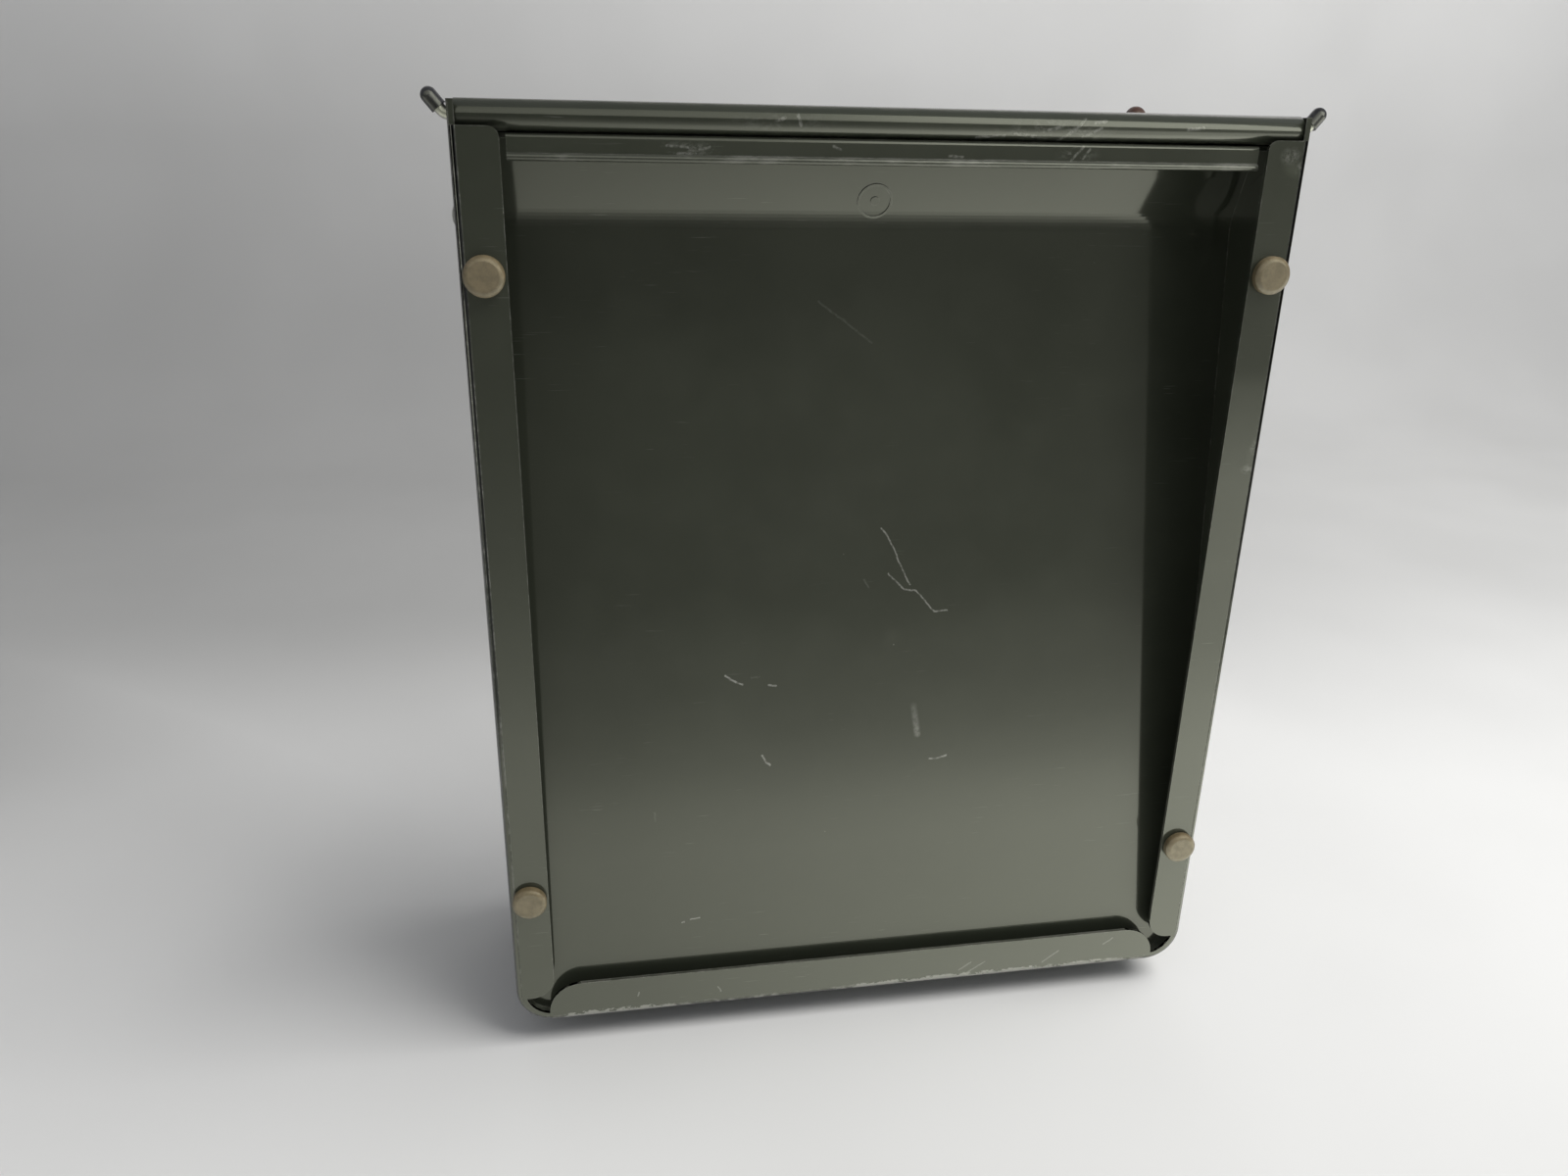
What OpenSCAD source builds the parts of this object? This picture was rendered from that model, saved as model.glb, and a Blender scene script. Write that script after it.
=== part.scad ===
// Slim sheet-steel book drop box. It stands on four rubber feet with its
// recessed, leaning back panel towards -Y (the wall side) and its lockable
// emptying door towards +Y. A lift lid with a rolled hinge barrel closes the top.
// Origin: centre of the overall box in X and Y, at the bottom of the feet.

/* [Case] */
// Width over the side walls
case_w = 250.4; // [220:0.2:280]
// Depth from the rear flanges to the front panel
case_d = 86; // [80:1:110]
// Height of the side walls' top edge above the table
case_top = 313.4; // [290:0.2:340]
// Height of the case bottom above the table
foot_h = 9.8; // [6:0.2:14]
// Sheet thickness
t = 1.2; // [0.9:0.1:1.4]
// Outer radius of the two lower corners
corner_r = 13; // [10:0.5:16]

/* [Back] */
// Depth that the leaning back panel would have at its top edge without its fold
recess_top = 37.6; // [30:0.2:39]
// Angle from the vertical of the panel's top strip, which is folded to the rear
fold = 21; // [10:1:24]
// Depth of the leaning back panel at its bottom edge
recess_bot = 3.9; // [3.4:0.1:12]
// Width of the side flanges, measured from the outside
side_flange_w = 13.3; // [11:0.1:16]
// Width of the bottom flange, measured from the outside
bottom_flange_w = 15.1; // [12:0.1:18]
// Diameter of a wall bumper
bumper_d = 11.5; // [9:0.5:13]
// Height that a wall bumper stands proud
bumper_h = 3.2; // [2:0.1:5]
// Height of the upper pair of wall bumpers
bumper_hi_z = 268; // [240:1:280]
// Height of the lower pair of wall bumpers
bumper_lo_z = 61.5; // [50:1:90]

/* [Lid] */
// Outer radius of the lid's rolled hinge barrel
barrel_r = 4.15; // [3.8:0.05:4.4]
// Diameter of the hinge rod
rod_d = 3.2; // [2.8:0.1:3.4]
// Height of the lid's front skirt
lid_skirt = 16.8; // [12:0.2:24]
// Angle at which the ends of the rod are turned up
rod_turn = 51; // [35:1:60]

/* [Door] */
// Width of the door
door_w = 196; // [150:1:200]
// Height of the door
door_h = 238; // [180:1:240]
// Height of the door's lower edge
door_z = 30; // [28:1:50]
// Thickness of the door over its returned edges
door_t = 6; // [5:0.5:8]

/* [Hidden] */

$fn = 64;
e = 0.01;
paint = [0.27, 0.285, 0.245];
hw = case_w / 2;                 // half width of the case
pull_out = 13;                   // lid pull in front of the front panel
y_rear = -(bumper_h + case_d + pull_out) / 2 + bumper_h;  // rear flange plane
xc = hw - corner_r;              // centre of a lower corner, in x
zc = foot_h + corner_r;          // centre of a lower corner, in z
flange_top = 306.9;              // top end of the side flanges
flange_bot = 20.3;               // bottom end of the side flanges
ax_y = 1.5 + barrel_r;           // lid hinge axis, behind the flange plane
lid_top = case_top + 0.4;
ax_z = lid_top - barrel_r;       // lid hinge axis height
web_z = ax_z - barrel_r - 0.3;   // top face of the top rail's web
pan_top = web_z - t - 0.05;      // top of the recessed pan
lid_hw = hw - t - 0.5;           // half width of the lid between the walls
pan_ro = corner_r - t - 0.1;     // outer corner radius of the pan
pan_ri = pan_ro - t;
pan_slope = (recess_top - recess_bot) / (pan_top - (zc - pan_ro));
lean = atan(pan_slope);          // the back panel leans away at the top
ty = t / cos(lean);              // its thickness measured along y
face_top = 309;                  // top of the front panel
disc_y = 12.5;
disc_z = 283.2;
hx = door_w / 2 + 4;             // door hinge axis
hy = case_d + 2.9;
lock_x = -76;
lock_z = 150;
door_y = case_d + 0.5;           // back edge of the door's returns
foot_x = 98;
foot_y1 = 22;
foot_y2 = 68;
barrel_end = lid_hw;

module at() { translate([0, y_rear, 0]) children(); }
module cyl_y(r, y0, y1) { translate([0, y0, 0]) rotate([-90, 0, 0]) cylinder(r = r, h = y1 - y0); }
module cyl_x(r, x0, x1) { translate([x0, 0, 0]) rotate([0, 90, 0]) cylinder(r = r, h = x1 - x0); }
module slab(x0, x1, y0, y1, z0, z1) { translate([x0, y0, z0]) cube([x1 - x0, y1 - y0, z1 - z0]); }

// Carries a flat profile, drawn as (distance outwards, depth), along the left
// side, the bottom and the right side of the case, round both lower corners.
module u_sweep(ztop) {
  // sides: x is outwards, y is depth
  for (s = [0, 1]) mirror([s, 0, 0])
    translate([xc, 0, zc]) linear_extrude(ztop - zc) children();
  // bottom
  translate([-xc, 0, zc]) rotate([0, 90, 0]) linear_extrude(2 * xc) children();
  // corners
  for (s = [0, 1]) mirror([s, 0, 0]) translate([xc, 0, zc])
    intersection() {
      rotate([-90, 0, 0]) rotate_extrude() children();
      translate([0, -1, -corner_r - 1]) cube([corner_r + 1, case_d + 20, corner_r + 1]);
    }
}
// Rounds the corner of a plate in the x-z plane: removes what lies outside a
// circle of radius r whose centre is c, in the quadrant (sx, sz).
module round_cut(cx, cz, r, sx, sz, y0, y1) {
  translate([cx, 0, cz]) difference() {
    translate([sx > 0 ? 0 : -r - 2, y0, sz > 0 ? 0 : -r - 2]) cube([r + 2, y1 - y0, r + 2]);
    cyl_y(r, y0 - 1, y1 + 1);
  }
}

// ---------------------------------------------------------------- case
bend = 2;   // outside radius of the rear bends
module wrap_wall() {
  translate([corner_r - t, bend]) square([t, case_d - bend]);
  translate([corner_r - bend, bend]) intersection() {
    difference() { circle(bend); circle(bend - t); }
    translate([0, -bend]) square([bend, bend]);
  }
}
module lip(w) { wrap_wall(); translate([corner_r - w, 0]) square([w - bend, t]); }
module case_wrap() {
  color(paint) at() difference() {
    union() {
      u_sweep(case_top) wrap_wall();
      // rolled lip round both lower corners
      for (s = [0, 1]) mirror([s, 0, 0]) translate([xc, 0, zc]) intersection() {
        rotate([-90, 0, 0]) rotate_extrude() translate([corner_r - 3.2, 0]) square([3.2 - bend + e, t]);
        translate([0, -1, -corner_r - 1]) cube([corner_r + 1, 5, corner_r + 1]);
      }
      // side flanges
      for (s = [0, 1]) mirror([s, 0, 0]) difference() {
        slab(hw - side_flange_w, hw - bend + e, 0, t, flange_bot, flange_top);
        round_cut(hw - side_flange_w + 3, flange_top - 3, 3, -1, 1, -1, t + 1);
        round_cut(hw - side_flange_w + 8, flange_bot + 8, 8, -1, -1, -1, t + 1);
      }
      // bottom flange
      difference() {
        slab(-xc - 1.8, xc + 1.8, 0, t, foot_h + bend - e, foot_h + bottom_flange_w);
        for (s = [-1, 1]) round_cut(s * (xc + 1.8 - 11.5), foot_h + bottom_flange_w - 11.5, 11.5, s, 1, -1, t + 1);
      }
    }
    // the rear bend stops above the flange ends
    for (s = [0, 1]) mirror([s, 0, 0]) slab(hw - 5, hw + 1, -1, 0.9, flange_top, case_top + 1);
    // holes: hinge rod, bumpers, discs, feet, side rivets
    for (s = [-1, 1]) {
      translate([s * hw, ax_y, ax_z]) cyl_x(rod_d / 2 + 0.15, -4, 4);
      for (z = [bumper_lo_z, bumper_hi_z]) translate([s * (hw - 6.9), 0, z]) cyl_y(2.55, -2, 4);
      translate([s * hw, disc_y, disc_z]) cyl_x(2.05, -4, 4);
      for (y = [foot_y1, foot_y2]) translate([s * foot_x, y, 0]) cylinder(r = 2.05, h = foot_h + 4);
      for (z = [70, 165, 260]) translate([s * hw, case_d - 6, z]) cyl_x(1.65, -4, 4);
    }
  }
}
// outer face: leaning, then a soft bend, then the strip folded to the rear
bend_z0 = 278;
bend_z1 = 284;
function lean_y(z) = recess_bot + pan_slope * (z - (zc - pan_ro));
function pan_y(z) = z <= bend_z0 ? lean_y(z)
  : z < bend_z1 ? lean_y(z) - (tan(fold) + pan_slope) * (z - bend_z0) * (z - bend_z0) / (2 * (bend_z1 - bend_z0))
  : lean_y(bend_z0) + (pan_slope - tan(fold)) / 2 * (bend_z1 - bend_z0) - tan(fold) * (z - bend_z1);
bend_pts = [for (k = [0 : 6]) bend_z0 + k * (bend_z1 - bend_z0) / 6];
ty2 = t / cos(fold);
module yz_prism(pts, x0, x1) { translate([x0, 0, 0]) rotate([90, 0, 90]) linear_extrude(x1 - x0) polygon(pts); }
// block with the two rounded lower corners of the case
module u_block(r, y0, y1, ztop) {
  slab(-xc - r, xc + r, y0, y1, zc, ztop);
  slab(-xc, xc, y0, y1, zc - r, zc + 0.5);
  for (s = [-1, 1]) translate([s * xc, 0, zc]) cyl_y(r, y0, y1);
}
// places things on the panel's folded strip: z points out of it
module on_panel(x, z) { translate([x, pan_y(z), z]) rotate([90 + fold, 0, 0]) children(); }
module back_pan() {
  color(paint) at() difference() {
    union() {
      difference() {
        u_block(pan_ro, 2, 50, pan_top);
        // hollow in front of the panel, inside the returned edges
        intersection() {
          u_block(pan_ri, 1, 51, pan_top + 1);
          yz_prism(concat([[-5, 0], [pan_y(0), 0]], [for (z = bend_pts) [pan_y(z), z]], [[pan_y(320), 320], [-5, 320]]), -130, 130);
        }
        // nothing behind the panel
        yz_prism(concat([[pan_y(320) + ty2, 320]], [for (k = [6 : -1 : 0]) [pan_y(bend_pts[k]) + ty + (ty2 - ty) * k / 6, bend_pts[k]]],
          [[pan_y(0) + ty, 0], [70, 0], [70, 320]]), -130, 130);
      }
      // plain pressed ring
      on_panel(0, 287.2) translate([0, 0, -0.15])
        difference() { cylinder(r = 5.6, h = 0.5); translate([0, 0, -1]) cylinder(r = 4.9, h = 3); }
      on_panel(0, 287.2) translate([0, 0, -0.2]) cylinder(r = 1.4, h = 0.5);
    }
    for (s = [-1, 1]) translate([s * hw, disc_y, disc_z]) cyl_x(2.05, -8, 8);
    for (x = [-90, -30, 30, 90]) on_panel(x, 301) translate([0, 0, -6]) cylinder(r = 1.65, h = 9);
  }
}
module top_rail() {
  rx = hw - side_flange_w - 1.6;   // half length of the visible face
  fy = 2.6;
  zf = web_z - 8.7;                // lower edge of the inner flange
  color(paint) at() difference() {
    union() {
      // face with a rolled bead along its lower edge
      slab(-rx, rx, fy, fy + t, web_z - 6.1, web_z - t);
      translate([0, fy + 0.15, web_z - 6.1]) cyl_x(1.05, -rx, rx);
      // bend to the web
      translate([0, fy + t, web_z - t]) intersection() {
        cyl_x(t, -rx, rx);
        slab(-rx, rx, -t, 0.0, 0, t);
      }
      slab(-rx, rx, fy + t - e, pan_y(web_z) + ty2 + 0.06, web_z - t, web_z);
      slab(-(hw - t - 0.1), hw - t - 0.1, 8, pan_y(web_z) + ty2 + 0.06, web_z - t, web_z);
      // flange down against the inner face of the panel's folded strip
      yz_prism([[pan_y(zf) + ty2 + 0.05, zf], [pan_y(zf) + 2 * ty2 + 0.05, zf],
        [pan_y(web_z) + 2 * ty2 + 0.05, web_z], [pan_y(web_z) + ty2 + 0.05, web_z]], -(hw - t - 0.1), hw - t - 0.1);
    }
    for (x = [-90, -30, 30, 90]) on_panel(x, 301) translate([0, 0, -6]) cylinder(r = 1.65, h = 9);
  }
}
module rim_profile() {
  // returned edge of the front panel, bend outwards at the front
  translate([pan_ri, case_d - 12]) square([t, 10]);
  translate([pan_ro - 2, case_d - 2]) intersection() {
    difference() { circle(2); circle(2 - t); }
    square([2, 2]);
  }
  translate([0, case_d - t]) square([pan_ro - 2, t]);
}
module front_panel() {
  color(paint) at() difference() {
    union() {
      u_sweep(face_top) rim_profile();
      slab(-xc - e, xc + e, case_d - t, case_d, zc - e, face_top);
      // returned top edge
      slab(-xc, xc, case_d - 12, case_d - t + e, face_top - t, face_top);
    }
    // door opening
    difference() {
      slab(-(door_w / 2 - 6), door_w / 2 - 6, case_d - 4, case_d + 2, door_z + 6, door_z + door_h - 6);
      for (sx = [-1, 1]) {
        round_cut(sx * (door_w / 2 - 12), door_z + 12, 6, sx, -1, case_d - 5, case_d + 3);
        round_cut(sx * (door_w / 2 - 12), door_z + door_h - 12, 6, sx, 1, case_d - 5, case_d + 3);
      }
    }
    for (s = [-1, 1]) {
      for (z = [70, 165, 260]) translate([s * hw, case_d - 6, z]) cyl_x(1.65, -4, 4);
      translate([s * 80, case_d - 6, 0]) cyl_z(2.05, face_top - 4, face_top + 2);
      translate([s * 36, case_d, 282.5]) cyl_y(1.25, -4, 4);
    }
    for (z = hinge_rivet_z) translate([hx + 9, case_d, z]) cyl_y(1.65, -4, 4);
  }
}
module cyl_z(r, z0, z1) { translate([0, 0, z0]) cylinder(r = r, h = z1 - z0); }
leaf_rivet_y = door_y + 2.05;
hinge_rivet_z = [for (k = [0 : 3]) door_z + 24 + k * (door_h - 48) / 3];

// ---------------------------------------------------------------- rod
module hinge_rod() {
  r = rod_d / 2;
  xb = hw - 0.6;
  br = 3;
  color([0.55, 0.55, 0.53]) at() {
    translate([0, ax_y, ax_z]) {
      cyl_x(r, -xb, xb);
      for (s = [0, 1]) mirror([s, 0, 0]) translate([xb, 0, br]) {
        // turned-up bend
        intersection() {
          rotate([90, 0, 0]) rotate_extrude() translate([br, 0]) circle(r);
          rotate([0, -rod_turn, 0]) translate([-20, -5, -20]) cube([20, 10, 20]);
          translate([0, -5, -20]) cube([20, 10, 20.0]);
        }
        rotate([0, -rod_turn, 0]) translate([0, 0, -br]) cyl_x(r, 0, 4.4);
      }
    }
  }
}
module rod_caps() {
  xb = hw - 0.6;
  br = 3;
  ro = 2.25;
  color([0.03, 0.03, 0.035]) at() for (s = [0, 1]) mirror([s, 0, 0])
    translate([xb, ax_y, ax_z + br]) rotate([0, -rod_turn, 0]) translate([0, 0, -br]) difference() {
      union() { cyl_x(ro, 0.6, 4.4); translate([4.4, 0, 0]) sphere(ro); }
      cyl_x(rod_d / 2 + 0.01, -1, 4.45);
    }
}

// ---------------------------------------------------------------- small rear parts
module wall_bumpers() {
  color([0.66, 0.6, 0.45]) at() for (s = [-1, 1], z = [bumper_lo_z, bumper_hi_z])
    translate([s * (hw - 6.9), 0, z]) rotate([90, 0, 0]) {
      rotate_extrude() polygon([[0, -2.9], [3.4, -2.9], [3.9, -2.4], [3.9, -1.25], [2.5, -1.25], [2.5, 0.02],
        [bumper_d / 2 - 0.2, 0.02], [bumper_d / 2, 0.3], [bumper_d / 2, bumper_h - 1.0],
        [bumper_d / 2 - 0.35, bumper_h - 0.5], [bumper_d / 2 - 1.1, bumper_h - 0.1],
        [bumper_d / 2 - 1.5, bumper_h], [0, bumper_h]]);
    }
}
pan_in = hw - t - 0.1 - t;    // inner face of the pan's side walls
module doubler_discs() {
  color(paint) at() for (s = [0, 1]) mirror([s, 0, 0])
    translate([pan_in, disc_y, disc_z]) rotate([0, -90, 0]) difference() {
      translate([0, 0, 0.02]) rotate_extrude() polygon([[0, 0], [15.3, 0], [15.3, 0.7], [14.8, 1.2], [0, 1.2]]);
      translate([0, 0, -1]) cylinder(r = 2.05, h = 5);
      // trimmed beside the rear flange
      translate([-20, 2.2 - disc_y - 20, -2]) cube([40, 20, 5]);
    }
}
module rivet(r, k, rh, hh, uh = 0.9) {
  // dome head above z = 0, shank to z = -k, upset head below
  rotate_extrude() union() {
    intersection() {
      translate([0, hh - (rh * rh + hh * hh) / (2 * hh)]) circle((rh * rh + hh * hh) / (2 * hh));
      translate([0, 0.02]) square([rh + 1, hh + 1]);
    }
    translate([0, -k - 0.02]) square([r, k + 0.1]);
    translate([0, -k - 0.02 - uh]) square([r * 1.5, uh]);
  }
}
module disc_rivets() {
  color([0.5, 0.5, 0.48]) at() for (s = [0, 1]) mirror([s, 0, 0])
    translate([hw, disc_y, disc_z]) rotate([0, 90, 0]) rivet(2, 2 * t + 0.1 + 1.2 + 0.04, 4.2, 1.6);
}
module rail_rivets() {
  color([0.5, 0.5, 0.48]) at() for (x = [-90, -30, 30, 90])
    on_panel(x, 301) rivet(1.6, 2 * t + 0.05 + 0.02, 2.7, 1.0);
}
module side_rivets() {
  color([0.5, 0.5, 0.48]) at() for (s = [0, 1], z = [70, 165, 260]) mirror([s, 0, 0])
    translate([hw, case_d - 6, z]) rotate([0, 90, 0]) rivet(1.6, 2 * t + 0.1 + 0.02, 3, 1.2);
}
module base_feet() {
  color([0.07, 0.07, 0.07]) at() for (s = [-1, 1], y = [foot_y1, foot_y2])
    translate([s * foot_x, y, 0]) difference() {
      rotate_extrude() polygon([[0, 0], [7.2, 0], [7.8, 0.6], [9, foot_h - 0.05], [0, foot_h - 0.05]]);
      translate([0, 0, 2.5]) cylinder(r = 1.98, h = foot_h);
    }
}
module foot_screws() {
  color([0.5, 0.5, 0.48]) at() for (s = [-1, 1], y = [foot_y1, foot_y2]) translate([s * foot_x, y, 0]) {
    translate([0, 0, 2.6]) cylinder(r = 1.95, h = foot_h + t + 0.6 - 2.6);
    translate([0, 0, foot_h + t + 0.02]) cylinder(r = 3.5, h = 1.0);
  }
}
floor_y = 8;   // rear edge of the floor mat
module floor_mat() {
  z0 = foot_h + t + 0.05;
  color([0.1, 0.1, 0.1]) at() difference() {
    union() {
      slab(-112, 112, floor_y, case_d - 13, z0, z0 + 1.8);
      for (k = [0 : 27]) slab(-112 + 1.5 + k * 8, -112 + 6.5 + k * 8, floor_y + 1, case_d - 14, z0 + 1.7, z0 + 3);
    }
    for (s = [-1, 1], y = [foot_y1, foot_y2]) translate([s * foot_x, y, 0]) cylinder(r = 4, h = 40);
  }
}
module lid_buffers() {
  color([0.07, 0.07, 0.07]) at() for (s = [-1, 1]) translate([s * 80, case_d - 6, face_top]) {
    rotate_extrude() polygon([[0, -3.4], [2.9, -3.4], [2.9, -1.25], [2, -1.25], [2, 0.02], [4.6, 0.02], [4.6, 1.6], [3.2, 2.9], [0, 2.9]]);
  }
}

// ---------------------------------------------------------------- door hinge
pin_r = 1.2;
kn_r = 2.4;
kn = 9;
kn_l = (door_h - 12) / kn;
kn_z0 = door_z + 6;
module knuckles(par) {
  for (k = [par : 2 : kn - 1]) translate([hx, hy, 0]) cyl_z(kn_r, kn_z0 + k * kn_l + 0.15, kn_z0 + (k + 1) * kn_l - 0.15);
}
module hinge_case_leaf() {
  color([0.5, 0.5, 0.48]) at() difference() {
    union() {
      knuckles(0);
      slab(hx + 3.2, hx + 17, case_d + 0.02, case_d + 1.22, kn_z0 + 0.15, kn_z0 + kn * kn_l - 0.15);
      for (k = [0 : 2 : kn - 1]) slab(hx, hx + 3.3, case_d + 0.3, case_d + 1.5, kn_z0 + k * kn_l + 0.15, kn_z0 + (k + 1) * kn_l - 0.15);
    }
    translate([hx, hy, 0]) cyl_z(pin_r + 0.05, 0, 400);
    for (z = hinge_rivet_z) translate([hx + 9, case_d, z]) cyl_y(1.65, -4, 4);
  }
}
module hinge_door_leaf() {
  color([0.5, 0.5, 0.48]) at() difference() {
    union() {
      knuckles(1);
      slab(door_w / 2 + 0.02, door_w / 2 + 0.95, door_y + 0.6, door_y + door_t - 0.6, kn_z0 + 0.15, kn_z0 + kn * kn_l - 0.15);
      for (k = [1 : 2 : kn - 1]) slab(door_w / 2 + 0.5, hx, hy + kn_r - 1.2, hy + kn_r, kn_z0 + k * kn_l + 0.15, kn_z0 + (k + 1) * kn_l - 0.15);
    }
    translate([hx, hy, 0]) cyl_z(pin_r + 0.05, 0, 400);
    for (z = hinge_rivet_z) translate([door_w / 2, leaf_rivet_y, z]) cyl_x(0.95, -3, 3);
  }
}
module hinge_pin() {
  color([0.6, 0.6, 0.6]) at() translate([hx, hy, 0]) {
    cyl_z(pin_r, kn_z0 - 0.6, kn_z0 + kn * kn_l + 0.6);
    cyl_z(2, kn_z0 - 1.6, kn_z0 - 0.5);
    cyl_z(2, kn_z0 + kn * kn_l + 0.5, kn_z0 + kn * kn_l + 1.6);
  }
}
module case_leaf_rivets() {
  color([0.5, 0.5, 0.48]) at() for (z = hinge_rivet_z)
    translate([hx + 9, case_d + 1.22, z]) rotate([-90, 0, 0]) rivet(1.6, 2 * t + 0.04, 2.8, 1.1);
}
module door_leaf_rivets() {
  color([0.5, 0.5, 0.48]) at() for (z = hinge_rivet_z)
    translate([door_w / 2 + 0.95, leaf_rivet_y, z]) rotate([0, 90, 0]) rivet(0.9, 0.93 + t + 0.04, 1.4, 0.45);
}

// ---------------------------------------------------------------- label
module label_frame() {
  y0 = case_d + 0.02;
  color([0.5, 0.47, 0.38]) at() difference() {
    union() {
      slab(-42, 42, y0, y0 + 0.8, 274, 291);
      slab(-32, 32, y0, y0 + 2.2, 274, 291);
    }
    slab(-30, 30, y0 + 0.6, y0 + 1.5, 275, 293);
    slab(-27.5, 27.5, y0 + 1, y0 + 4, 277.5, 293);
    for (s = [-1, 1]) translate([s * 36, case_d, 282.5]) cyl_y(1.25, -4, 4);
  }
}
module label_card() {
  color([0.86, 0.83, 0.74]) at() slab(-29.7, 29.7, case_d + 0.7, case_d + 1.3, 275.1, 290.5);
}
module label_rivets() {
  color([0.5, 0.47, 0.38]) at() for (s = [-1, 1]) translate([s * 36, case_d + 0.82, 282.5])
    rotate([-90, 0, 0]) rivet(1.2, t + 0.8 + 0.04, 2.2, 0.8);
}

// ---------------------------------------------------------------- lid
module lid_panel() {
  fy = case_d + 0.6;
  color(paint) at() difference() {
    union() {
      // rolled hinge barrel
      translate([0, ax_y, ax_z]) difference() {
        cyl_x(barrel_r, -barrel_end, barrel_end);
        cyl_x(barrel_r - t, -barrel_end - 1, barrel_end + 1);
      }
      // top
      slab(-lid_hw, lid_hw, ax_y, fy, lid_top - t, lid_top);
      // side skirts
      for (s = [0, 1]) mirror([s, 0, 0]) {
        slab(lid_hw - t, lid_hw, 13, case_d - 12.6, ax_z - barrel_r + 0.6, lid_top - e);
      }
      // front skirt
      slab(-hw, hw, fy, fy + t, lid_top - lid_skirt, lid_top - 2);
      slab(-hw, hw, fy - e, fy - 0.8 + t, lid_top - t, lid_top);
      translate([0, fy - 0.8 + t, lid_top - 2]) intersection() {
        difference() { cyl_x(2, -hw, hw); cyl_x(2 - t, -hw - 1, hw + 1); }
        slab(-hw, hw, 0, 3, 0, 3);
      }
      translate([0, fy + t, 0]) slab(-hw, hw, -0.001, 0.4, lid_top - lid_skirt, lid_top - 2);
    }
    translate([87, 40, lid_top - 4]) cylinder(r = 1.6, h = 8);
    for (s = [-1, 1]) translate([s * 40, fy, 304]) cyl_y(1.65, -3, 5);
  }
}
module lid_stiffener() {
  color(paint) at() {
    slab(-104, 104, 46, 52, lid_top - 2 * t - 0.05, lid_top - t - 0.02);
    slab(-104, 104, 66, 72, lid_top - 2 * t - 0.05, lid_top - t - 0.02);
    slab(-104, 104, 51, 52.2, lid_top - 6, lid_top - t - 0.3);
    slab(-104, 104, 65.8, 67, lid_top - 6, lid_top - t - 0.3);
    slab(-104, 104, 51, 67, lid_top - 6, lid_top - 6 + t);
  }
}
module rod_bushes() {
  color([0.85, 0.84, 0.78]) at() for (s = [0, 1]) mirror([s, 0, 0]) translate([0, ax_y, ax_z]) difference() {
    cyl_x(barrel_r - t - 0.01, barrel_end - 12, barrel_end);
    cyl_x(rod_d / 2 + 0.05, 0, 200);
  }
}
module lid_pull() {
  y0 = case_d + 0.6 + t + 0.42;
  color([0.27, 0.285, 0.245]) at() difference() {
    union() {
      slab(-52, 52, y0, y0 + t, 298.2, 310);
      slab(-52, 52, y0, case_d + pull_out - 1.6, 297.6, 297.6 + t);
      translate([0, case_d + pull_out - 1.6, 297.6 + 1.6]) difference() {
        cyl_x(1.6, -52, 52);
        slab(-60, 60, -5, 0, -0.4, 5);
      }
    }
    for (s = [-1, 1]) translate([s * 40, y0, 304]) cyl_y(1.65, -3, 5);
  }
}
module pull_rivets() {
  y0 = case_d + 0.6 + t + 0.42 + t;
  color([0.5, 0.5, 0.48]) at() for (s = [-1, 1]) translate([s * 40, y0, 304])
    rotate([-90, 0, 0]) rivet(1.6, 2 * t + 0.44, 2.8, 1.1, 0.4);
}
module lid_bumper() {
  color([0.2, 0.11, 0.08]) at() translate([87, 40, lid_top]) rotate_extrude() union() {
    intersection() {
      translate([0, -0.6]) circle(3.4);
      translate([0, 0.02]) square([5, 5]);
    }
    translate([0, -t - 0.04]) square([1.55, t + 0.1]);
    translate([0, -t - 0.04 - 1.4]) square([2.4, 1.4]);
  }
}

// ---------------------------------------------------------------- door
module door_panel() {
  r = 3;
  y1 = door_y + door_t;
  x1 = door_w / 2;
  z1 = door_z + door_h;
  color(paint) at() difference() {
    union() {
      slab(-x1, x1, door_y, y1 - 2, door_z, z1);
      slab(-x1 + 2, x1 - 2, door_y + 1, y1, door_z + 2, z1 - 2);
      // rounded front edges
      for (z = [door_z + 2, z1 - 2]) translate([0, y1 - 2, z]) cyl_x(2, -x1 + 2, x1 - 2);
      for (x = [-x1 + 2, x1 - 2]) translate([x, y1 - 2, 0]) cyl_z(2, door_z + 2, z1 - 2);
      for (x = [-x1 + 2, x1 - 2], z = [door_z + 2, z1 - 2]) translate([x, y1 - 2, z]) sphere(2);
    }
    slab(-x1 + t, x1 - t, door_y - 1, y1 - t, door_z + t, z1 - t);
    translate([lock_x, 0, lock_z]) cyl_y(9.55, door_y, y1 + 1);
    for (z = hinge_rivet_z) translate([x1, leaf_rivet_y, z]) cyl_x(0.95, -3, 3);
  }
}
module door_stiffener() {
  y1 = door_y + door_t - t;
  color(paint) at() {
    slab(20, 26, y1 - t, y1 - 0.02, door_z + 12, door_z + door_h - 12);
    slab(38, 44, y1 - t, y1 - 0.02, door_z + 12, door_z + door_h - 12);
    slab(25, 26.2, y1 - 3.2, y1 - 0.3, door_z + 12, door_z + door_h - 12);
    slab(37.8, 39, y1 - 3.2, y1 - 0.3, door_z + 12, door_z + door_h - 12);
    slab(25, 39, y1 - 3.2, y1 - 3.2 + t, door_z + 12, door_z + door_h - 12);
  }
}
module lock_housing() {
  y1 = door_y + door_t;
  color([0.72, 0.72, 0.7]) at() translate([lock_x, 0, lock_z]) difference() {
    union() {
      translate([0, y1 + 0.02, 0]) rotate([-90, 0, 0]) rotate_extrude()
        polygon([[0, 0], [11.5, 0], [11.5, 0.9], [10.3, 2], [0, 2]]);
      cyl_y(9.5, case_d - 3.2, y1 + 0.1);
    }
    cyl_y(6.05, case_d - 8, y1 + 5);
  }
}
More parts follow.
